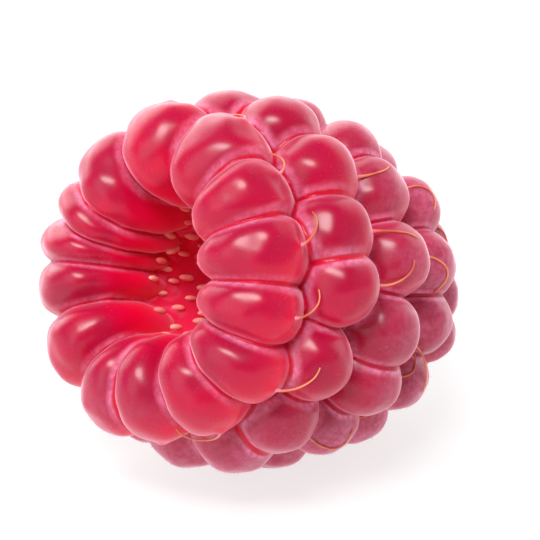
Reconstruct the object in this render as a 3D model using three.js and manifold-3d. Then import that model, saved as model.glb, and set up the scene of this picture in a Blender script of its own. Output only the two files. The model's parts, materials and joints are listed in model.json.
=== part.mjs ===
// A picked red raspberry lying on its side, hollow where its core was left on the plant.
// Millimetres, +Z up. The hollow's mouth faces -X and somewhat up, and the tip faces +X.
// The origin is on the surface that the berry lies on, under the middle of its outline.

import * as THREE from 'three';
import { mergeVertices } from 'three/addons/utils/BufferGeometryUtils.js';
import Module from 'manifold-3d';

const wasm = await Module();
wasm.setup();

// The seat is the curved surface, round the berry's own axis, that every drupelet's middle sits on.
// An angle round its profile is 0 where the berry is widest, 90 at the tip and below 0 towards the mouth.
const seatRadius = 7.45;
const seatToTip = 12.7;
const seatToMouth = 8.3;
const tipTaper = 1.45;
const mouthTaper = 0.8;

// The drupelets of the mouth's rim, by their angles round the axis.
const rimAngles = [154, 190, 218, 243, 267, 290, 313, 342, 6, 38, 66, 84, 102, 122];
const rimSeatAngle = -37;

// The rows behind the rim, up to the tip. The first is where each row starts round the axis.
const rows = [
  { angle: -10, count: 15, first: 89 },
  { angle: 12, count: 15, first: 97 },
  { angle: 31, count: 13, first: 98 },
  { angle: 47, count: 11, first: 82 },
  { angle: 61, count: 8, first: 84 },
  { angle: 76, count: 4, first: 60 },
];

// A drupelet's half sizes. Its crown stands out of the seat and its root runs in to the hollow.
const crownHeight = { least: 1.0, perWidth: 0.77 };
const rootDepth = 2.9;
const rootNarrowing = 0.45;
const touchingHeight = 1.5;
const widthOverlap = 1.18;
const lengthOfWidth = 1.04;
const plumpness = 2.25;
const rim = { lean: -32, halfLength: 2.6, crownHeight: 2.4, rootDepth: 3.2, touchingRadius: 6.9, taper: 0.3 };

// How unlike each other the drupelets are.
const unevenness = { round: 0.4, along: 0.35, size: 0.06, height: 0.2, twist: 14, rimTwist: 5 };

// The hollow and the wall round it, which closes the gaps between the roots.
const hollow = { throatRadius: 4.1, depth: 11.8, mouthAt: -5.4, bluntness: 0.7 };
const wallOverSeat = 0.8;
const wallSides = 36;
const wallSteps = 9;

// How the berry lies: its axis rises to the mouth, and the lowest drupelets are pressed flat.
const pitch = 22.5;
const flattening = 0.32;
const surface = { side: 60, thickness: 10 };

const sphereSides = 10;
const sphereRings = 6;
const mergeDistance = 1e-4;
const radians = Math.PI / 180;

// An even draw from -1 to 1 that is always the same for a drupelet and a purpose.
function draw(drupelet, purpose) {
  const spread = Math.sin(drupelet * 12.9898 + purpose * 78.233) * 43758.5453;
  return 2 * (spread - Math.floor(spread)) - 1;
}

// A point of the seat's profile: its distance from the axis, its place along it, and the lean of
// the outward normal towards the tip.
function seatAt(angle) {
  const reach = angle > 0 ? seatToTip : seatToMouth;
  const taper = angle > 0 ? tipTaper : mouthTaper;
  const across = Math.cos(angle * radians);
  const along = Math.sin(angle * radians);
  return {
    radius: seatRadius * across ** taper,
    along: reach * along,
    lean: Math.atan2(seatRadius * taper * across ** (taper - 1) * along, reach * across),
  };
}

// A drupelet that sits on the seat at an angle round its profile and an angle round the axis.
function drupeletOn(id, seatAngle, roundAngle, own) {
  const seat = seatAt(seatAngle);
  const lean = seat.lean + own.lean * radians;
  const round = roundAngle * radians;
  const size = 1 + draw(id, 2) * unevenness.size;
  const outward = new THREE.Vector3(Math.cos(round), Math.sin(round), 0);
  const axis = new THREE.Vector3(0, 0, 1);
  const normal = outward.clone().multiplyScalar(Math.cos(lean)).addScaledVector(axis, Math.sin(lean));
  const toTip = outward.clone().multiplyScalar(-Math.sin(lean)).addScaledVector(axis, Math.cos(lean));
  toTip.applyAxisAngle(normal, draw(id, 3) * own.twist * radians);
  return {
    normal,
    toTip,
    sideways: new THREE.Vector3().crossVectors(normal, toTip),
    centre: outward.clone().multiplyScalar(seat.radius)
      .addScaledVector(axis, seat.along)
      .addScaledVector(toTip, draw(id, 4) * own.slide),
    halfWidth: own.halfWidth * size,
    halfLength: own.halfLength * size,
    crownHeight: own.crownHeight + draw(id, 5) * unevenness.height,
    rootDepth: own.rootDepth,
    taper: own.taper,
  };
}

// Every drupelet of the berry. One of the rim is as wide as its share of the mouth, and one of a
// row as wide as the row's spacing where neighbours touch.
function placeDrupelets() {
  const drupelets = [];
  for (const [n, angle] of rimAngles.entries()) {
    const before = rimAngles.at(n - 1);
    const after = rimAngles[(n + 1) % rimAngles.length];
    const share = ((after - before + 360) % 360) / 2;
    const halfWidth = (share / 2) * radians * rim.touchingRadius * widthOverlap;
    drupelets.push(drupeletOn(drupelets.length + 1, rimSeatAngle, angle,
      { ...rim, halfWidth, twist: unevenness.rimTwist, slide: unevenness.along }));
  }
  for (const row of rows) {
    const seat = seatAt(row.angle);
    const touchingRadius = seat.radius + touchingHeight * Math.cos(seat.lean);
    const halfWidth = (Math.PI / row.count) * touchingRadius * widthOverlap;
    for (let n = 0; n < row.count; n++) {
      const id = drupelets.length + 1;
      const shift = (draw(id, 1) * unevenness.round) / seat.radius / radians;
      drupelets.push(drupeletOn(id, row.angle, row.first + (n * 360) / row.count + shift, {
        lean: 0,
        halfWidth,
        halfLength: halfWidth * lengthOfWidth,
        crownHeight: crownHeight.least + crownHeight.perWidth * halfWidth,
        rootDepth,
        taper: 0,
        twist: unevenness.twist,
        slide: unevenness.along,
      }));
    }
  }
  return drupelets;
}

// A drupelet as a plump egg: a sphere's points moved out to a rounded box, narrowed to its root.
function drupeletGeometry(drupelet) {
  const geometry = new THREE.SphereGeometry(1, sphereSides, sphereRings).rotateX(Math.PI / 2);
  const places = geometry.getAttribute('position');
  const p = new THREE.Vector3();
  for (let i = 0; i < places.count; i++) {
    p.fromBufferAttribute(places, i).normalize();
    const power = Math.abs(p.x) ** plumpness + Math.abs(p.y) ** plumpness + Math.abs(p.z) ** plumpness;
    p.multiplyScalar(power ** (-1 / plumpness));
    const narrowed = 1 - rootNarrowing * Math.max(0, -p.z) ** 2;
    const tapered = 1 + drupelet.taper * p.x;
    const tall = p.z > 0 ? drupelet.crownHeight : drupelet.rootDepth;
    const place = drupelet.centre.clone()
      .addScaledVector(drupelet.toTip, p.x * drupelet.halfLength * narrowed)
      .addScaledVector(drupelet.sideways, p.y * drupelet.halfWidth * narrowed * tapered)
      .addScaledVector(drupelet.normal, p.z * tall);
    places.setXYZ(i, place.x, place.y, place.z);
  }
  return geometry;
}

// The wall between the hollow and the seat, as a turned ring.
function wallGeometry() {
  const profile = [];
  const from = rimSeatAngle;
  for (let step = 0; step <= wallSteps; step++) {
    const seat = seatAt(from + ((90 - from) * step) / wallSteps);
    const radius = seat.radius + wallOverSeat * Math.cos(seat.lean);
    const along = seat.along + wallOverSeat * Math.sin(seat.lean);
    profile.push(new THREE.Vector2(step === wallSteps ? 0 : radius, along));
  }
  for (let step = wallSteps; step >= 0; step--) {
    const turn = (step / wallSteps) * (Math.PI / 2);
    const radius = step === wallSteps ? 0 : hollow.throatRadius * Math.cos(turn) ** hollow.bluntness;
    profile.push(new THREE.Vector2(radius, hollow.mouthAt + hollow.depth * Math.sin(turn)));
  }
  profile.push(profile[0].clone());
  return new THREE.LatheGeometry(profile, wallSides).rotateX(Math.PI / 2);
}

// A closed mesh as a solid, with only its places kept and the shared ones merged.
function toSolid(geometry) {
  const bare = new THREE.BufferGeometry().setAttribute('position', geometry.getAttribute('position'));
  if (geometry.index) bare.setIndex(geometry.index);
  const merged = mergeVertices(bare, mergeDistance);
  return new wasm.Manifold(new wasm.Mesh({
    numProp: 3,
    vertProperties: merged.getAttribute('position').array,
    triVerts: new Uint32Array(merged.index.array),
  }));
}

function toGeometry(solid) {
  const mesh = solid.getMesh();
  return new THREE.BufferGeometry()
    .setAttribute('position', new THREE.BufferAttribute(mesh.vertProperties, 3))
    .setIndex(new THREE.BufferAttribute(mesh.triVerts, 1));
}

// The berry as it lies: joined, turned onto its side, and flattened a little where it touches.
function berryGeometry() {
  const pieces = [wallGeometry(), ...placeDrupelets().map(drupeletGeometry)].map(toSolid);
  const joined = wasm.Manifold.union(pieces).decompose()
    .reduce((largest, body) => (body.volume() > largest.volume() ? body : largest));
  const lying = toGeometry(joined).rotateY((90 + pitch) * radians);
  lying.computeBoundingBox();
  lying.translate(0, 0, -lying.boundingBox.min.z - flattening);
  const under = new THREE.BoxGeometry(surface.side, surface.side, surface.thickness)
    .translate(0, 0, -surface.thickness / 2);
  const rested = toGeometry(toSolid(lying).subtract(toSolid(under)));
  rested.computeBoundingBox();
  const middle = rested.boundingBox.getCenter(new THREE.Vector3());
  return rested.translate(-middle.x, -middle.y, 0);
}

const fruitSkin = new THREE.MeshStandardMaterial({ color: 0xc21f45, roughness: 0.38, metalness: 0 });

const raspberry = new THREE.Mesh(berryGeometry(), fruitSkin);
raspberry.name = 'raspberry';

const part = new THREE.Group();
part.add(raspberry);

export default part;
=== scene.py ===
# A picked red raspberry on its side, with fine drupelets, dry styles, down and the scars in its hollow.
# Everything is in metres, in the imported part's own frame, with +Z up and the tip towards +X.
import json
import math
import random

import bmesh
import bpy
import numpy as np
from mathutils import Matrix, Vector, noise
from mathutils.bvhtree import BVHTree
from mathutils.kdtree import KDTree

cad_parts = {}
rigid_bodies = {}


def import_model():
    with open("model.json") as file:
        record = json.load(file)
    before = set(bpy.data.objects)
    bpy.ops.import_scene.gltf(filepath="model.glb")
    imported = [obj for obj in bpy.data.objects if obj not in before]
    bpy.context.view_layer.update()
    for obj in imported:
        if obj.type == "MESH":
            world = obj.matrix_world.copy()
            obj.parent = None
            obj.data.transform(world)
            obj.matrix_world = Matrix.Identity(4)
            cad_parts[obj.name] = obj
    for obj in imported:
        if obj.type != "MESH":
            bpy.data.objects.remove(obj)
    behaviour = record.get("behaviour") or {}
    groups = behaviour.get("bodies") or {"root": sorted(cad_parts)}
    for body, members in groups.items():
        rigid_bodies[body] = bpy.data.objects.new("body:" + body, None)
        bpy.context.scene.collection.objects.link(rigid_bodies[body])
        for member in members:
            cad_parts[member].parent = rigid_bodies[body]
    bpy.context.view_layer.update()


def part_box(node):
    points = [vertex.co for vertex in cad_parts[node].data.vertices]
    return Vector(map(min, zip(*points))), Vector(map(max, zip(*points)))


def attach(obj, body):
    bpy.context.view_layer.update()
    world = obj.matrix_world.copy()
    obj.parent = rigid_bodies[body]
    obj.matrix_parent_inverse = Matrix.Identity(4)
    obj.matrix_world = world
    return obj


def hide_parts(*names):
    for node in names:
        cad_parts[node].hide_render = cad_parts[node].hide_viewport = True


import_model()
mm = 0.001


def report(stage):
    print("raspberry:", stage)


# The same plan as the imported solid, in millimetres, round the berry's own axis.
berry = {
    "seatRadius": 7.45, "seatToTip": 12.7, "seatToMouth": 8.3, "tipTaper": 1.45, "mouthTaper": 0.8,
    "rimAngles": [154, 190, 218, 243, 267, 290, 313, 342, 6, 38, 66, 84, 102, 122],
    "rimSeatAngle": -37,
    "rows": [(-10, 15, 89), (12, 15, 97), (31, 13, 98), (47, 11, 82), (61, 8, 84), (76, 4, 60)],
    "crownLeast": 1.0, "crownPerWidth": 0.77, "rootDepth": 2.9, "rootNarrowing": 0.45,
    "touchingHeight": 1.5, "widthOverlap": 1.18, "lengthOfWidth": 1.04, "plumpness": 2.25,
    "rimLean": -32, "rimHalfLength": 2.6, "rimCrown": 2.4, "rimRoot": 3.2, "rimTouching": 6.9,
    "rimTaper": 0.3, "rimTwist": 5,
    # how unlike each other the drupelets are
    "round": 0.4, "along": 0.35, "size": 0.06, "height": 0.2, "twist": 14,
    "pitch": 22.5, "flattening": 0.32, "plainSides": 10, "plainRings": 6,
}


# The skin: finer than the plain solid, with the point that each style grew from.
skin = {
    "ballSteps": 4, "finerAbove": -0.12, "dent": 0.1, "dentSize": 1.2,
    "pointAngle": 66, "pointSpread": 8, "pointHeight": 0.16,
    # by row from the rim, 0: the deeper roots, and the slimmer drupelets
    "roots": {0: 4.4, 1: 3.55, 2: 3.5}, "slim": {2: 0.95, 3: 0.94, 4: 0.93, 5: 0.93, 6: 0.93},
    "sameSpot": 2e-6, "creaseReach": 0.07, "creaseSmoothing": 3,
    # how far out of its egg a point is when it belongs to the wall, and over how much it blends
    "eggEnd": 1.12, "eggBlend": 0.1, "taperLimits": (0.3, 2), "upperSide": (-0.5, 0, 0.87),
    # where each mark is 0 and where it is 1, in millimetres off the axis or along it
    "hollowAcross": (6.1, 3.8), "hollowFrom": (-6.4, -4.2), "hollowTo": (7.2, 6.6), "towardsTip": (-7, 13),
}
hollow = {
    "radius": 4.1, "depth": 11.8, "mouthAt": -5.4, "bluntness": 0.7, "overSeat": 0.25,
    "firstSeatAngle": -30, "firstInside": 5, "sides": 96, "steps": 22, "sameSpot": 1e-5,
}


def draw(number, purpose):
    # an even draw from -1 to 1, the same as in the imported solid
    spread = math.sin(number * 12.9898 + purpose * 78.233) * 43758.5453
    return 2 * (spread - math.floor(spread)) - 1


def seatAt(angle):
    # a point of the seat's profile: off the axis, along it, and how far the way out leans to the tip
    across, along = math.cos(math.radians(angle)), math.sin(math.radians(angle))
    reach = berry["seatToTip"] if angle > 0 else berry["seatToMouth"]
    taper = berry["tipTaper"] if angle > 0 else berry["mouthTaper"]
    lean = math.atan2(berry["seatRadius"] * taper * across ** (taper - 1) * along, reach * across)
    return berry["seatRadius"] * across ** taper, reach * along, lean


def drupeletOn(number, row, seatAngle, roundAngle, shape):
    radius, along, lean = seatAt(seatAngle)
    lean += math.radians(shape["lean"])
    turn = math.radians(roundAngle)
    grow = 1 + draw(number, 2) * berry["size"]
    outward = Vector((math.cos(turn), math.sin(turn), 0))
    axis = Vector((0, 0, 1))
    normal = outward * math.cos(lean) + axis * math.sin(lean)
    toTip = outward * -math.sin(lean) + axis * math.cos(lean)
    toTip = Matrix.Rotation(math.radians(draw(number, 3) * shape["twist"]), 3, normal) @ toTip
    grow *= skin["slim"].get(row, 1)
    return {
        "number": number, "row": row, "normal": normal, "toTip": toTip, "sideways": normal.cross(toTip),
        "centre": outward * radius + axis * along + toTip * draw(number, 4) * berry["along"],
        "halfWidth": shape["halfWidth"] * grow, "halfLength": shape["halfLength"] * grow,
        "crown": shape["crown"] + draw(number, 5) * berry["height"],
        "root": shape["root"], "taper": shape["taper"],
    }


def placeDrupelets():
    placed = []
    angles = berry["rimAngles"]
    for n, angle in enumerate(angles):
        share = ((angles[(n + 1) % len(angles)] - angles[n - 1]) % 360) / 2
        shape = {
            "lean": berry["rimLean"], "twist": berry["rimTwist"], "taper": berry["rimTaper"],
            "halfWidth": math.radians(share / 2) * berry["rimTouching"] * berry["widthOverlap"],
            "halfLength": berry["rimHalfLength"], "crown": berry["rimCrown"], "root": berry["rimRoot"],
        }
        placed.append(drupeletOn(len(placed) + 1, 0, berry["rimSeatAngle"], angle, shape))
    for row, (seatAngle, count, first) in enumerate(berry["rows"], 1):
        radius, along, lean = seatAt(seatAngle)
        touching = radius + berry["touchingHeight"] * math.cos(lean)
        halfWidth = math.pi / count * touching * berry["widthOverlap"]
        shape = {
            "lean": 0, "twist": berry["twist"], "taper": 0, "halfWidth": halfWidth,
            "halfLength": halfWidth * berry["lengthOfWidth"], "root": berry["rootDepth"],
            "crown": berry["crownLeast"] + berry["crownPerWidth"] * halfWidth,
        }
        for n in range(count):
            number = len(placed) + 1
            shift = math.degrees(draw(number, 1) * berry["round"] / radius)
            placed.append(drupeletOn(number, row, seatAngle, first + n * 360 / count + shift, shape))
    return placed


def eggPoint(d, direction, root=None):
    # a direction inside the drupelet, out to its surface: a rounded box, narrowed to its root
    x, y, z = direction
    k = berry["plumpness"]
    reach = (abs(x) ** k + abs(y) ** k + abs(z) ** k) ** (-1 / k)
    x, y, z = x * reach, y * reach, z * reach
    narrowed = 1 - berry["rootNarrowing"] * max(0, -z) ** 2
    tapered = 1 + d["taper"] * x
    tall = d["crown"] if z > 0 else (root or d["root"])
    return (d["centre"] + d["toTip"] * (x * d["halfLength"] * narrowed)
            + d["sideways"] * (y * d["halfWidth"] * narrowed * tapered) + d["normal"] * (z * tall))


def layDown(plan):
    # the turn onto its side, then the move that puts the plain solid where it was packed
    turn = Matrix.Rotation(math.radians(90 + berry["pitch"]), 3, "Y")
    corners = []
    for d in plan:
        for ring in range(berry["plainRings"] + 1):
            for side in range(berry["plainSides"]):
                fromTop = math.pi * ring / berry["plainRings"]
                around = 2 * math.pi * side / berry["plainSides"]
                out = -math.sin(fromTop)
                direction = (math.cos(around) * out, math.sin(around) * out, math.cos(fromTop))
                corners.append(turn @ eggPoint(d, direction))
    low = [min(c[i] for c in corners) for i in range(3)]
    high = [max(c[i] for c in corners) for i in range(3)]
    move = Vector((-(low[0] + high[0]) / 2, -(low[1] + high[1]) / 2, -low[2] - berry["flattening"]))
    return Matrix.Translation(move * mm) @ turn.to_4x4() @ Matrix.Scale(mm, 4)


drupelets = placeDrupelets()
toPlace = layDown(drupelets)
fromPlace = toPlace.inverted()
report("%d drupelets placed" % len(drupelets))


def pointDirection():
    a = math.radians(skin["pointAngle"])
    return Vector((math.sin(a), 0, math.cos(a)))


def drupeletSurface(d, direction):
    place = eggPoint(d, direction, skin["roots"].get(d["row"]))
    outward = (place - d["centre"]).normalized()
    away = direction.angle(pointDirection()) / math.radians(skin["pointSpread"])
    place += outward * skin["pointHeight"] * math.exp(-away * away)
    place += outward * noise.noise(place / skin["dentSize"] + Vector((d["number"], 0, 0))) * skin["dent"]
    return toPlace @ place


def makeDrupelet(d, collection):
    bm = bmesh.new()
    bmesh.ops.create_icosphere(bm, subdivisions=skin["ballSteps"], radius=1)
    crown = [e for e in bm.edges if min(v.co.z for v in e.verts) > skin["finerAbove"]]
    bmesh.ops.subdivide_edges(bm, edges=crown, cuts=1, use_grid_fill=True)
    bmesh.ops.triangulate(bm, faces=bm.faces[:])
    for v in bm.verts:
        v.co = drupeletSurface(d, v.co.normalized())
    mesh = bpy.data.meshes.new("drupelet")
    bm.to_mesh(mesh)
    bm.free()
    collection.objects.link(bpy.data.objects.new("drupelet", mesh))


def makeWall():
    # the outside of the wall from its mouth to the tip, then the inside back to the mouth
    bm = bmesh.new()
    profile = []
    steps, first, inside = hollow["steps"], hollow["firstSeatAngle"], hollow["firstInside"]
    for step in range(steps + 1):
        radius, along, lean = seatAt(first + (90 - first) * step / steps)
        radius = 0 if step == steps else radius + hollow["overSeat"] * math.cos(lean)
        profile.append((radius, along + hollow["overSeat"] * math.sin(lean)))
    for step in range(steps, -1, -1):
        turn = math.radians(inside + (90 - inside) * step / steps)
        radius = 0 if step == steps else hollow["radius"] * math.cos(turn) ** hollow["bluntness"]
        profile.append((radius, hollow["mouthAt"] + hollow["depth"] * math.sin(turn)))
    verts = [bm.verts.new((radius, 0, along)) for radius, along in profile]
    pairs = [(verts[n], verts[(n + 1) % len(verts)]) for n in range(len(verts)) if n != steps]
    edges = [bm.edges.new(pair) for pair in pairs]
    bmesh.ops.spin(bm, geom=verts + edges, cent=(0, 0, 0), axis=(0, 0, 1), angle=2 * math.pi,
                   steps=hollow["sides"], use_merge=True)
    bmesh.ops.remove_doubles(bm, verts=bm.verts[:], dist=hollow["sameSpot"])
    bmesh.ops.recalc_face_normals(bm, faces=bm.faces[:])
    bmesh.ops.triangulate(bm, faces=bm.faces[:])
    bmesh.ops.transform(bm, matrix=toPlace, verts=bm.verts[:])
    mesh = bpy.data.meshes.new("fruit")
    bm.to_mesh(mesh)
    bm.free()
    wall = bpy.data.objects.new("fruit", mesh)
    bpy.context.scene.collection.objects.link(wall)
    return wall


def bakedMesh(piece):
    bpy.context.view_layer.update()
    return bpy.data.meshes.new_from_object(piece.evaluated_get(bpy.context.evaluated_depsgraph_get()))


def applyModifiers(piece):
    shaped = bakedMesh(piece)
    old = piece.data
    piece.modifiers.clear()
    piece.data = shaped
    bpy.data.meshes.remove(old)


def largestBody(bm):
    # the scraps that the union leaves inside are dropped
    left, bodies = set(bm.verts), []
    while left:
        body, waiting = set(), [left.pop()]
        while waiting:
            v = waiting.pop()
            body.add(v)
            for e in v.link_edges:
                other = e.other_vert(v)
                if other in left:
                    left.discard(other)
                    waiting.append(other)
        bodies.append(body)
    keep = max(bodies, key=len)
    bmesh.ops.delete(bm, geom=[v for v in bm.verts if v not in keep], context="VERTS")
    return len(bodies) - 1


def makeFruit():
    fruit = makeWall()
    loose = bpy.data.collections.new("drupelets")
    bpy.context.scene.collection.children.link(loose)
    for d in drupelets:
        makeDrupelet(d, loose)
    union = fruit.modifiers.new("join", "BOOLEAN")
    union.operation = "UNION"
    union.operand_type = "COLLECTION"
    union.collection = loose
    union.solver = "MANIFOLD"
    applyModifiers(fruit)
    for o in list(loose.objects):
        mesh = o.data
        bpy.data.objects.remove(o)
        bpy.data.meshes.remove(mesh)
    bpy.data.collections.remove(loose)
    bm = bmesh.new()
    bm.from_mesh(fruit.data)
    bmesh.ops.remove_doubles(bm, verts=bm.verts[:], dist=skin["sameSpot"])
    scraps = largestBody(bm)
    softenCreases(bm)
    for v in bm.verts:
        v.co.z = max(v.co.z, 0.0)
    bm.to_mesh(fruit.data)
    openEdges = sum(1 for e in bm.edges if not e.is_manifold)
    bm.free()
    fruit.data.shade_smooth()
    faces = len(fruit.data.polygons)
    report("fruit has %d faces, %d scraps dropped, %d open edges" % (faces, scraps, openEdges))
    return fruit


def readPlaces(mesh):
    # every point of a mesh round the berry's own axis, in millimetres
    places = np.empty(len(mesh.vertices) * 3, np.float32)
    mesh.vertices.foreach_get("co", places)
    return ownPlaces(places.reshape(-1, 3))


def ownPlaces(places):
    inverse = np.array(fromPlace)
    return places @ inverse[:3, :3].T + inverse[:3, 3]


def nearestDrupelet(own):
    # for each point: how far the crease is, how high it is on its drupelet, whether it is on the
    # drupelet's upper side, and that drupelet's tone
    k = berry["plumpness"]
    count = len(own)
    best, second = np.full(count, np.inf), np.full(count, np.inf)
    crown, upper, tone = np.zeros(count), np.zeros(count), np.zeros(count)
    up = (fromPlace.to_3x3() @ Vector(skin["upperSide"])).normalized()
    for d in drupelets:
        off = own - np.array(d["centre"])
        z = off @ np.array(d["normal"])
        z = np.where(z > 0, z / d["crown"], z / skin["roots"].get(d["row"], d["root"]))
        narrowed = 1 - berry["rootNarrowing"] * np.clip(-z, 0, 1) ** 2
        x = off @ np.array(d["toTip"]) / d["halfLength"] / narrowed
        tapered = np.clip(1 + d["taper"] * x, *skin["taperLimits"])
        y = off @ np.array(d["sideways"]) / d["halfWidth"] / narrowed / tapered
        reach = (np.abs(x) ** k + np.abs(y) ** k + np.abs(z) ** k) ** (1 / k)
        nearer = reach < best
        second = np.where(nearer, best, np.minimum(second, reach))
        best = np.where(nearer, reach, best)
        crown = np.where(nearer, z, crown)
        upward = (up - d["normal"] * up.dot(d["normal"])) / d["halfWidth"]
        upper = np.where(nearer, off @ np.array(upward), upper)
        tone = np.where(nearer, draw(d["number"], 7), tone)
    # the wall that shows in a gap belongs to the crease
    onDrupelet = np.clip((skin["eggEnd"] - best) / skin["eggBlend"], 0, 1)
    fromCrease = np.clip(second - best, 0, 1) * onDrupelet
    return fromCrease, np.clip(crown, 0, 1), np.clip(upper, -1, 1), (tone + 1) / 2


def softenCreases(bm):
    own = ownPlaces(np.array([v.co for v in bm.verts]))
    fromCrease = nearestDrupelet(own)[0]
    near = [v for v, gap in zip(bm.verts, fromCrease) if gap < skin["creaseReach"]]
    for step in range(skin["creaseSmoothing"]):
        bmesh.ops.smooth_vert(bm, verts=near, factor=0.5, use_axis_x=True, use_axis_y=True,
                              use_axis_z=True)


def writeAttribute(mesh, name, values):
    attribute = mesh.attributes.new(name, "FLOAT", "POINT")
    attribute.data.foreach_set("value", values.astype(np.float32))


def ramp(values, zero, full):
    return np.clip((values - zero) / (full - zero), 0, 1)


def markSkin(fruit):
    own = readPlaces(fruit.data)
    fromAxis, along = np.hypot(own[:, 0], own[:, 1]), own[:, 2]
    inHollow = ramp(fromAxis, *skin["hollowAcross"])
    inHollow *= ramp(along, *skin["hollowFrom"]) * ramp(along, *skin["hollowTo"])
    for name, values in zip(("fromCrease", "crown", "upper", "tone"), nearestDrupelet(own)):
        writeAttribute(fruit.data, name, values)
    writeAttribute(fruit.data, "inHollow", inHollow)
    writeAttribute(fruit.data, "towardsTip", ramp(along, *skin["towardsTip"]))


fruit = makeFruit()
markSkin(fruit)


# Small helpers for node materials. A range is read from low to high, into toLow to toHigh.
grainRoughness = 0.55


def newMaterial(name):
    material = bpy.data.materials.new(name)
    material.use_nodes = True
    nodes = material.node_tree.nodes
    return material, nodes, material.node_tree.links, nodes["Principled BSDF"]


def attributeNode(nodes, name):
    node = nodes.new("ShaderNodeAttribute")
    node.attribute_name = name
    return node.outputs["Fac"]


def noiseNode(nodes, links, scale, detail):
    coordinates = nodes.new("ShaderNodeTexCoord")
    node = nodes.new("ShaderNodeTexNoise")
    node.inputs["Scale"].default_value = scale
    node.inputs["Detail"].default_value = detail
    node.inputs["Roughness"].default_value = grainRoughness
    links.new(coordinates.outputs["Object"], node.inputs["Vector"])
    return node.outputs["Fac"]


def rangeNode(nodes, links, value, low, high, toLow=0.0, toHigh=1.0):
    node = nodes.new("ShaderNodeMapRange")
    node.interpolation_type = "SMOOTHSTEP"
    links.new(value, node.inputs["Value"])
    for name, number in (("From Min", low), ("From Max", high), ("To Min", toLow), ("To Max", toHigh)):
        node.inputs[name].default_value = number
    return node.outputs["Result"]


def setPlain(node, values):
    for name, value in values.items():
        node.inputs[name].default_value = value


def mathNode(nodes, links, operation, a, b):
    node = nodes.new("ShaderNodeMath")
    node.operation = operation
    for socket, value in zip(node.inputs, (a, b)):
        if isinstance(value, (int, float)):
            socket.default_value = value
        else:
            links.new(value, socket)
    return node.outputs["Value"]


def mixNode(nodes, links, factor, a, b):
    node = nodes.new("ShaderNodeMix")
    node.data_type = "RGBA"
    node.clamp_factor = True
    for name, value in (("Factor_Float", factor), ("A_Color", a), ("B_Color", b)):
        socket = next(s for s in node.inputs if s.identifier == name)
        if isinstance(value, (tuple, int, float)):
            socket.default_value = value
        else:
            links.new(value, socket)
    return next(s for s in node.outputs if s.identifier == "Result_Color")


def mottledColor(nodes, links, look, first, second):
    mottle = rangeNode(nodes, links, noiseNode(nodes, links, *look["mottle"]), *look["mottleEdge"])
    return mixNode(nodes, links, mottle, look[first], look[second])


def shade(red, green, blue):
    # a colour as a picture editor gives it, 0 to 255, in the renderer's linear light
    linear = []
    for c in (red / 255, green / 255, blue / 255):
        linear.append(((c + 0.055) / 1.055) ** 2.4 if c > 0.04045 else c / 12.92)
    return (*linear, 1.0)


skinLook = {
    # the deeper red is the drupelets' own deeper tone and also painted shade; the lit red is painted light
    "flesh": shade(206, 0, 58), "ripeAndShade": shade(146, 0, 50), "lit": shade(228, 0, 58),
    "crease": shade(210, 0, 45), "tipCrease": shade(178, 0, 45), "bloomAndSheen": shade(240, 148, 186),
    "hollow": shade(222, 0, 54), "deepHollow": shade(252, 48, 96),
    # the noise in the colour and in the skin's grain: its scale and its detail
    "mottle": (620, 4), "grain": (3200, 3), "bump": 0.3, "bumpHeight": 0.00003,
    # the rest of the colour, each as a range: of what it's read from, then of how much there is
    "toneDeep": (0, 1, 0, 0.45), "tipDeep": (0.15, 0.8, 0, 0.45), "crownDeep": (0.1, 0.8, 0.2, 1),
    "mottleDeep": (0.38, 0.66, 0, 0.4), "upperShade": (-0.1, 0.6, 0, 0.55),
    "gatheredLight": (-0.75, 0.05, 0.9, 0), "thickShade": (0.3, 0.9, 0, 0.5),
    # the pale bloom: partly the real bloom, partly a painted sheen round the shoulders and on the upper
    # sides, and a painted reflection of the floor low on the berry
    "bloomSheenShare": 0.95, "tipBloom": (0.15, 0.6, 0.7, 1), "patchBloom": (0.36, 0.62, 0.5, 1),
    "grainBloom": (0.38, 0.62, 0.6, 1), "shoulderSheen": (0.03, 0.11, 0, 1),
    "outlineSheenFade": (0.09, 0.31, 1, 0), "crownBloom": (0.25, 0.7, 0, 0.34),
    "lowFloorReflection": (0.0025, 0.0085, 0.5, 0), "upperSheen": (-0.5, 0.1, 0.45, 1),
    "creaseTip": (0.3, 0.6, 0, 1), "creaseEdge": (0.02, 0.1, 1, 0),
    "hollowTip": (0.12, 0.3, 0, 1), "hollowEdge": (0.08, 0.2, 0.6, 1),
    "roughness": (0, 0.5, 0.34, 0.54),
    # the values that go into the shader as they are
    "plain": {
        "Specular IOR Level": 0.1, "Subsurface Weight": 0.75, "Subsurface Scale": 0.002,
        "Subsurface Radius": (1.0, 0.12, 0.16), "Sheen Weight": 1.0, "Sheen Roughness": 0.29,
        "Sheen Tint": shade(255, 208, 228), "Coat Weight": 0.48, "Coat Roughness": 0.26,
    },
}


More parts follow.
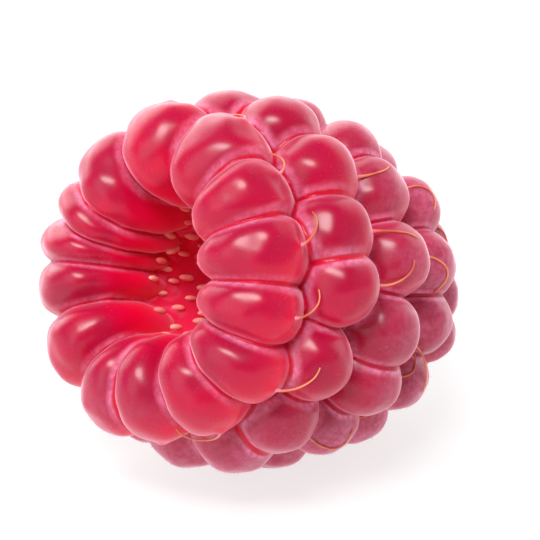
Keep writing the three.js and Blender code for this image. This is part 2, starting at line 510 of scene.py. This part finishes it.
def makeSkinMaterial():
    material, nodes, links, principled = newMaterial("raspberrySkin")
    look = skinLook
    marks = ("fromCrease", "crown", "upper", "tone", "inHollow", "towardsTip")
    fromCrease, crown, upper, tone, inHollow, towardsTip = [attributeNode(nodes, mark) for mark in marks]
    mottle = noiseNode(nodes, links, *look["mottle"])
    fine = noiseNode(nodes, links, *look["grain"])

    def share(value, name):
        return rangeNode(nodes, links, value, *look[name])

    def join(operation, a, b):
        return mathNode(nodes, links, operation, a, b)

    def mix(factor, a, b):
        return mixNode(nodes, links, factor, a, b)

    # deeper on some drupelets, towards the tip and in patches
    deeper = join("ADD", share(tone, "toneDeep"), share(towardsTip, "tipDeep"))
    deeper = join("MULTIPLY", deeper, share(crown, "crownDeep"))
    color = mix(deeper, look["flesh"], look["ripeAndShade"])
    color = mix(share(mottle, "mottleDeep"), color, look["ripeAndShade"])
    # painted light and shade: each drupelet is darker on its upper side, and a brighter red on its lower
    # side, where the light that passes through it gathers
    color = mix(share(upper, "upperShade"), color, look["ripeAndShade"])
    color = mix(share(upper, "gatheredLight"), color, look["lit"])
    # painted shade: a drupelet is thickest under its crown and lets least light through there, so it's
    # deepest there
    color = mix(share(crown, "thickShade"), color, look["ripeAndShade"])
    # the bloom and a painted sheen lie round each drupelet's shoulders as pale outlines, thinner on its
    # crown and its lower side, with more bloom towards the tip and a painted reflection of the pale floor
    # low on the berry
    height = nodes.new("ShaderNodeSeparateXYZ")
    links.new(nodes.new("ShaderNodeTexCoord").outputs["Object"], height.inputs["Vector"])
    onCrown = join("MAXIMUM", share(towardsTip, "crownBloom"), share(height.outputs["Z"], "lowFloorReflection"))
    outlineOrCrown = join("MAXIMUM", share(fromCrease, "outlineSheenFade"), onCrown)
    bloomAndSheen = look["bloomSheenShare"]
    for part in (share(towardsTip, "tipBloom"), share(mottle, "patchBloom"), share(fine, "grainBloom"),
                 share(fromCrease, "shoulderSheen"), outlineOrCrown, share(upper, "upperSheen")):
        bloomAndSheen = join("MULTIPLY", bloomAndSheen, part)
    color = mix(bloomAndSheen, color, look["bloomAndSheen"])
    # red again in the creases, a clean bright red against the shade there that stands for light glowing
    # through the skin:
    # painted light, darker towards the tip; and brighter in the hollow
    crease = mix(share(towardsTip, "creaseTip"), look["crease"], look["tipCrease"])
    color = mix(share(fromCrease, "creaseEdge"), color, crease)
    # the hollow's own red, painted brighter and pinker deeper in, where little light reaches: partly
    # painted light
    inside = mix(share(towardsTip, "hollowTip"), look["hollow"], look["deepHollow"])
    color = mix(join("MULTIPLY", inHollow, share(fromCrease, "hollowEdge")), color, inside)
    links.new(color, principled.inputs["Base Color"])
    links.new(share(bloomAndSheen, "roughness"), principled.inputs["Roughness"])
    setPlain(principled, look["plain"])
    bump = nodes.new("ShaderNodeBump")
    bump.inputs["Strength"].default_value = look["bump"]
    bump.inputs["Distance"].default_value = look["bumpHeight"]
    links.new(fine, bump.inputs["Height"])
    links.new(bump.outputs["Normal"], principled.inputs["Normal"])
    return material


fruit.data.materials.clear()
fruit.data.materials.append(makeSkinMaterial())
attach(fruit, "root")
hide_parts("raspberry")


# The dry styles: thin threads that grew from the drupelets' points and now lie on the skin.
styles = {
    "seed": 5, "share": 0.2, "tipRow": 5, "tipShare": 0.3,
    "thickness": 0.062, "swell": 1.5, "swellSteps": 0.9, "thinning": 0.4, "sameSpot": 1e-7,
    "steps": 11, "stepsMore": 2, "stepLength": 0.27, "lengths": (0.85, 1.1),
    "turn": 45, "curl": 9, "endSteps": 3, "endCurl": 2.2,
    # how it lies: over the skin, into it at the root, and the most that it may stand free of it
    "clear": 0.07, "sunk": 0.2, "freeHeight": 0.75, "lowest": 0.15, "castFrom": 4, "tautPasses": 40,
    # the drupelets whose style shows best: its first turn from the tip, and its curl at each step
    "chosen": {3: (10, 10), 4: (12, 7), 5: (-4, 8), 6: (0, 6), 7: (-40, -9), 21: (0, -2), 22: (-20, 8),
               36: (-15, -8), 35: (30, -11), 20: (-10, 5), 2: (25, 8), 37: (8, -6), 38: (0, 7),
               24: (-12, 6), 50: (20, 9)},
    "none": (1, 8, 9, 10, 11, 12, 13, 14, 19, 23, 34),
    "stub": shade(232, 122, 140), "pale": shade(222, 138, 96), "brown": shade(190, 88, 54),
    "stubEdge": (0.05, 0.25, 1, 0), "mottle": (500, 2), "mottleEdge": (0.35, 0.65),
    "plain": {"Roughness": 0.45, "Subsurface Weight": 0.3, "Subsurface Scale": 0.0003},
}


def bodyNormal(place):
    # straight out of the berry's body, whichever drupelet is there
    own = fromPlace @ place
    reach = berry["seatToTip"] if own.z > 0 else berry["seatToMouth"]
    out = Vector((own.x / berry["seatRadius"] ** 2, own.y / berry["seatRadius"] ** 2, own.z / reach ** 2))
    return (toPlace.to_3x3() @ out).normalized()


def stylePath(d, tree, chance):
    # the way over the body first, then the height at each step: on the crowns, and taut between them
    turn = toPlace.to_3x3().normalized()
    start = drupeletSurface(d, pointDirection())
    start += (toPlace @ d["centre"] - start).normalized() * styles["sunk"] * mm
    first, curl = chance.uniform(-1, 1) * styles["turn"], chance.uniform(-1, 1) * styles["curl"]
    first, curl = (math.radians(a) for a in styles["chosen"].get(d["number"], (first, curl)))
    heading = turn @ (d["toTip"] * math.cos(first) + d["sideways"] * math.sin(first))
    steps = styles["steps"] + chance.randint(-styles["stepsMore"], styles["stepsMore"])
    length = styles["stepLength"] * chance.uniform(*styles["lengths"]) * mm
    places, outs, heights = [start], [bodyNormal(start)], [0.0]
    for step in range(steps):
        out = bodyNormal(places[-1])
        tighter = styles["endCurl"] if step >= steps - styles["endSteps"] else 1
        heading = Matrix.Rotation(curl * tighter, 3, out) @ heading
        heading = (heading - out * heading.dot(out)).normalized()
        place = places[-1] + heading * length
        out = bodyNormal(place)
        hit = tree.ray_cast(place + out * styles["castFrom"] * mm, -out)[0]
        places.append(place)
        outs.append(out)
        heights.append((hit - place).dot(out) + styles["clear"] * mm if hit else heights[-1])
    least = list(heights)
    for again in range(styles["tautPasses"]):
        for n in range(1, steps):
            heights[n] = max(least[n], (heights[n - 1] + heights[n + 1]) / 2)
    return [place + out * height for place, out, height in zip(places, outs, heights)]


def makeStyles(tree):
    chance = random.Random(styles["seed"])
    curve = bpy.data.curves.new("styles", "CURVE")
    curve.dimensions = "3D"
    curve.bevel_depth = styles["thickness"] * mm
    curve.bevel_resolution = 1
    curve.use_fill_caps = True
    curve.resolution_u = 3
    paths = []
    for d in drupelets:
        number = d["number"]
        share = styles["share"] + (styles["tipShare"] if d["row"] >= styles["tipRow"] else 0)
        bare = draw(number, 9) < share
        if number in styles["none"] or (bare and number not in styles["chosen"]):
            continue
        points = stylePath(d, tree, chance)
        free = max(tree.find_nearest(p)[3] for p in points)
        if min(p.z for p in points) < styles["lowest"] * mm or free > styles["freeHeight"] * mm:
            continue
        paths.append(points)
        spline = curve.splines.new("NURBS")
        spline.points.add(len(points) - 1)
        spline.order_u = 4
        spline.use_endpoint_u = True
        for n, point in enumerate(points):
            spline.points[n].co = (*point, 1)
            swell = styles["swell"] * math.exp(-n / styles["swellSteps"])
            spline.points[n].radius = 1 + swell - styles["thinning"] * n / len(points)
    thread = bpy.data.objects.new("styleCurve", curve)
    bpy.context.scene.collection.objects.link(thread)
    mesh = bakedMesh(thread)
    bpy.data.objects.remove(thread)
    bpy.data.curves.remove(curve)
    bm = bmesh.new()
    bm.from_mesh(mesh)
    bmesh.ops.remove_doubles(bm, verts=bm.verts[:], dist=styles["sameSpot"])
    bmesh.ops.recalc_face_normals(bm, faces=bm.faces[:])
    bm.to_mesh(mesh)
    bm.free()
    mesh.name = "styles"
    mesh.shade_smooth()
    markThreads(mesh, paths)
    piece = bpy.data.objects.new("styles", mesh)
    bpy.context.scene.collection.objects.link(piece)
    report("%d styles, %d faces" % (len(paths), len(mesh.polygons)))
    return piece


def markThreads(mesh, paths):
    # how far along its thread each point is, for the pinker stub
    stops = [(point, n / len(points)) for points in paths for n, point in enumerate(points)]
    tree = KDTree(len(stops))
    for index, (point, share) in enumerate(stops):
        tree.insert(point, index)
    tree.balance()
    nearest = [tree.find(v.co)[1] for v in mesh.vertices]
    writeAttribute(mesh, "alongThread", np.array([stops[index][1] for index in nearest]))


def makeStyleMaterial():
    material, nodes, links, principled = newMaterial("dryStyle")
    along = attributeNode(nodes, "alongThread")
    color = mottledColor(nodes, links, styles, "pale", "brown")
    nearRoot = rangeNode(nodes, links, along, *styles["stubEdge"])
    color = mixNode(nodes, links, nearRoot, color, styles["stub"])
    links.new(color, principled.inputs["Base Color"])
    setPlain(principled, styles["plain"])
    return material


skinTree = BVHTree.FromObject(fruit, bpy.context.evaluated_depsgraph_get())
styleThreads = makeStyles(skinTree)
styleThreads.data.materials.clear()
styleThreads.data.materials.append(makeStyleMaterial())
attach(styleThreads, "root")


# The down: short pale hairs all over the drupelets' crowns.
down = {
    "seed": 3, "perDrupelet": 400, "length": (0.08, 0.22), "thickness": 0.0045, "lean": 0.5,
    "sameSpot": 1e-9,
    # where it grows: how far down a drupelet, how near the skin, how low, and not in the hollow
    "lowestShare": -0.25, "offSkin": 0.03, "lowest": 0.3, "hollowRadius": 4.6, "hollowFrom": -5.8,
    # how far out a hair's middle is, as a share of its length
    "middleOut": 0.45,
    "pale": shade(236, 122, 152), "deep": shade(214, 64, 104),
    "mottle": (300, 2), "mottleEdge": (0.3, 0.7),
    "plain": {"Roughness": 0.5, "Specular IOR Level": 0.3},
}


def growDown(d, tree, chance, whole):
    bm = bmesh.new()
    for n in range(down["perDrupelet"]):
        z = chance.uniform(down["lowestShare"], 1)
        turn = chance.uniform(0, 2 * math.pi)
        flat = math.sqrt(1 - z * z)
        place = drupeletSurface(d, Vector((flat * math.cos(turn), flat * math.sin(turn), z)))
        near, out, index, gap = tree.find_nearest(place)
        own = fromPlace @ place
        inside = math.hypot(own.x, own.y) < down["hollowRadius"] and own.z > down["hollowFrom"]
        if gap > down["offSkin"] * mm or place.z < down["lowest"] * mm or inside:
            continue
        lean = Vector([chance.uniform(-1, 1) for axis in range(3)]) * down["lean"]
        heading = (out + lean).normalized()
        length = chance.uniform(*down["length"]) * mm
        turned = heading.to_track_quat("Z", "Y").to_matrix().to_4x4()
        where = Matrix.Translation(near + heading * length * down["middleOut"]) @ turned
        bmesh.ops.create_cone(bm, cap_ends=True, cap_tris=True, segments=3, depth=length,
                              radius1=down["thickness"] * mm, radius2=0, matrix=where)
    mesh = bpy.data.meshes.new("tuft")
    bmesh.ops.remove_doubles(bm, verts=bm.verts[:], dist=down["sameSpot"])
    bm.to_mesh(mesh)
    bm.free()
    whole.from_mesh(mesh)
    bpy.data.meshes.remove(mesh)


def makeDown(tree):
    chance = random.Random(down["seed"])
    whole = bmesh.new()
    for d in drupelets:
        growDown(d, tree, chance, whole)
    mesh = bpy.data.meshes.new("down")
    whole.to_mesh(mesh)
    whole.free()
    mesh.shade_smooth()
    piece = bpy.data.objects.new("down", mesh)
    bpy.context.scene.collection.objects.link(piece)
    report("down has %d faces" % len(mesh.polygons))
    return piece


def makeDownMaterial():
    material, nodes, links, principled = newMaterial("paleDown")
    links.new(mottledColor(nodes, links, down, "pale", "deep"), principled.inputs["Base Color"])
    setPlain(principled, down["plain"])
    return material


skinDown = makeDown(skinTree)
skinDown.data.materials.append(makeDownMaterial())
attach(skinDown, "root")


# The pale scars in the hollow, in staggered rings, where the drupelets sat on the core.
scars = {
    "seed": 11, "rings": [-2.6, -1.7, -0.8, 0.1, 1.0, 1.9, 2.8, 3.7, 4.5], "perRing": 16,
    "stagger": 0.5, "roundSpread": 0.2, "alongSpread": 0.25,
    "half": (0.46, 0.17, 0.18), "sizes": (0.8, 1.15), "raised": 0.25,
    "pale": shade(255, 178, 160), "deep": shade(252, 118, 120),
    "mottle": (900, 2), "mottleEdge": (0.35, 0.7),
    "plain": {"Roughness": 0.4, "Subsurface Weight": 0.4, "Subsurface Scale": 0.0006},
}


def makeScars(tree):
    chance = random.Random(scars["seed"])
    bm = bmesh.new()
    aside, further = scars["roundSpread"], scars["alongSpread"]
    for ring, along in enumerate(scars["rings"]):
        for n in range(scars["perRing"]):
            place = n + scars["stagger"] * (ring % 2) + chance.uniform(-aside, aside)
            turn = 2 * math.pi * place / scars["perRing"]
            outward = Vector((math.cos(turn), math.sin(turn), 0))
            start = toPlace @ Vector((0, 0, along + chance.uniform(-further, further)))
            hit, normal = tree.ray_cast(start, toPlace.to_3x3() @ outward)[:2]
            if hit is None:
                continue
            lengthways = (toPlace.to_3x3() @ Vector((0, 0, 1))).normalized()
            lengthways = (lengthways - normal * lengthways.dot(normal)).normalized()
            across = normal.cross(lengthways)
            size = chance.uniform(*scars["sizes"]) * mm
            half = [h * size for h in scars["half"]]
            for v in bmesh.ops.create_icosphere(bm, subdivisions=2, radius=1)["verts"]:
                x, y, z = v.co.x * half[0], v.co.y * half[1], v.co.z * half[2]
                v.co = hit + lengthways * x + across * y + normal * (z + half[2] * scars["raised"])
    mesh = bpy.data.meshes.new("scars")
    bm.to_mesh(mesh)
    bm.free()
    mesh.shade_smooth()
    piece = bpy.data.objects.new("scars", mesh)
    bpy.context.scene.collection.objects.link(piece)
    report("scars have %d faces" % len(mesh.polygons))
    return piece


def makeScarMaterial():
    material, nodes, links, principled = newMaterial("paleScar")
    links.new(mottledColor(nodes, links, scars, "pale", "deep"), principled.inputs["Base Color"])
    setPlain(principled, scars["plain"])
    return material


coreScars = makeScars(skinTree)
coreScars.data.materials.append(makeScarMaterial())
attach(coreScars, "root")


# The pale floor, the soft light and the camera.
studio = {
    "floor": shade(130, 130, 130), "floorGlow": 0.74, "floorRoughness": 0.9, "floorSide": 6,
    # the light that comes from all around, as ranges over the height of the sky
    "sky": (0.45, 0.95, 0.21, 0.2), "horizon": (0.03, 0.14, 0.9, 0),
    # the bright sweep behind the berry in two, a white card at its left and a dim one at its right:
    # azimuth, elevation, spread and strength
    "glows": [(170, 18, (0.7, 0.97), 3.4), (98, 20, (0.75, 0.97), 1.6), (-92, 23, (0.84, 0.99), 2.0),
              (40, 12, (0.5, 0.95), 0.3)],
    "keyPower": 16.5, "keyLong": 0.7, "keyWide": 0.42,
    "keyAway": 1.2, "keyAzimuth": -64, "keyElevation": 60,
    "azimuth": -42, "elevation": 25, "lens": 180, "sensor": 36, "nearest": 0.005, "frameWidth": 28.5,
}


def directionTo(azimuth, elevation):
    a, e = math.radians(azimuth), math.radians(elevation)
    return Vector((math.sin(a) * math.cos(e), -math.cos(a) * math.cos(e), math.sin(e)))


def makeWorld():
    # dim enough over and in front of the berry that the skin keeps its depth
    world = bpy.data.worlds.new("softWhite")
    world.use_nodes = True
    nodes, links = world.node_tree.nodes, world.node_tree.links
    coordinates = nodes.new("ShaderNodeTexCoord")
    parts = nodes.new("ShaderNodeSeparateXYZ")
    links.new(coordinates.outputs["Generated"], parts.inputs["Vector"])
    strength = rangeNode(nodes, links, parts.outputs["Z"], *studio["sky"])
    low = rangeNode(nodes, links, parts.outputs["Z"], *studio["horizon"])
    strength = mathNode(nodes, links, "MAXIMUM", strength, low)
    for azimuth, elevation, spread, bright in studio["glows"]:
        towards = nodes.new("ShaderNodeVectorMath")
        towards.operation = "DOT_PRODUCT"
        links.new(coordinates.outputs["Generated"], towards.inputs[0])
        towards.inputs[1].default_value = directionTo(azimuth, elevation)
        glow = rangeNode(nodes, links, towards.outputs["Value"], *spread, 0, bright)
        strength = mathNode(nodes, links, "ADD", strength, glow)
    links.new(strength, nodes["Background"].inputs["Strength"])
    nodes["Background"].inputs["Color"].default_value = (1, 1, 1, 1)
    bpy.context.scene.world = world
    bpy.context.scene.view_settings.view_transform = "Standard"


def makeFloor():
    bm = bmesh.new()
    bmesh.ops.create_grid(bm, x_segments=2, y_segments=2, size=studio["floorSide"] / 2)
    mesh = bpy.data.meshes.new("floor")
    bm.to_mesh(mesh)
    bm.free()
    floor = bpy.data.objects.new("floor", mesh)
    bpy.context.scene.collection.objects.link(floor)
    material, nodes, links, principled = newMaterial("paleFloor")
    setPlain(principled, {
        "Base Color": studio["floor"], "Roughness": studio["floorRoughness"],
        "Emission Color": (1, 1, 1, 1), "Emission Strength": studio["floorGlow"],
    })
    mesh.materials.append(material)


def makeKey(middle):
    lamp = bpy.data.lights.new("softbox", "AREA")
    lamp.shape = "ELLIPSE"
    lamp.size = studio["keyLong"]
    lamp.size_y = studio["keyWide"]
    lamp.energy = studio["keyPower"]
    key = bpy.data.objects.new("softbox", lamp)
    toKey = directionTo(studio["keyAzimuth"], studio["keyElevation"])
    key.location = middle + toKey * studio["keyAway"]
    key.rotation_euler = toKey.to_track_quat("Z", "Y").to_euler()
    bpy.context.scene.collection.objects.link(key)


def makeCamera(middle):
    lens = bpy.data.cameras.new("camera")
    lens.lens = studio["lens"]
    lens.sensor_width = studio["sensor"]
    lens.clip_start = studio["nearest"]
    camera = bpy.data.objects.new("camera", lens)
    toCamera = directionTo(studio["azimuth"], studio["elevation"])
    camera.location = middle + toCamera * studio["frameWidth"] * mm * studio["lens"] / studio["sensor"]
    camera.rotation_euler = toCamera.to_track_quat("Z", "Y").to_euler()
    bpy.context.scene.collection.objects.link(camera)
    bpy.context.scene.camera = camera


low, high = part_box("raspberry")
middle = (low + high) / 2
makeWorld()
makeFloor()
makeKey(middle)
makeCamera(middle)
report("studio made")
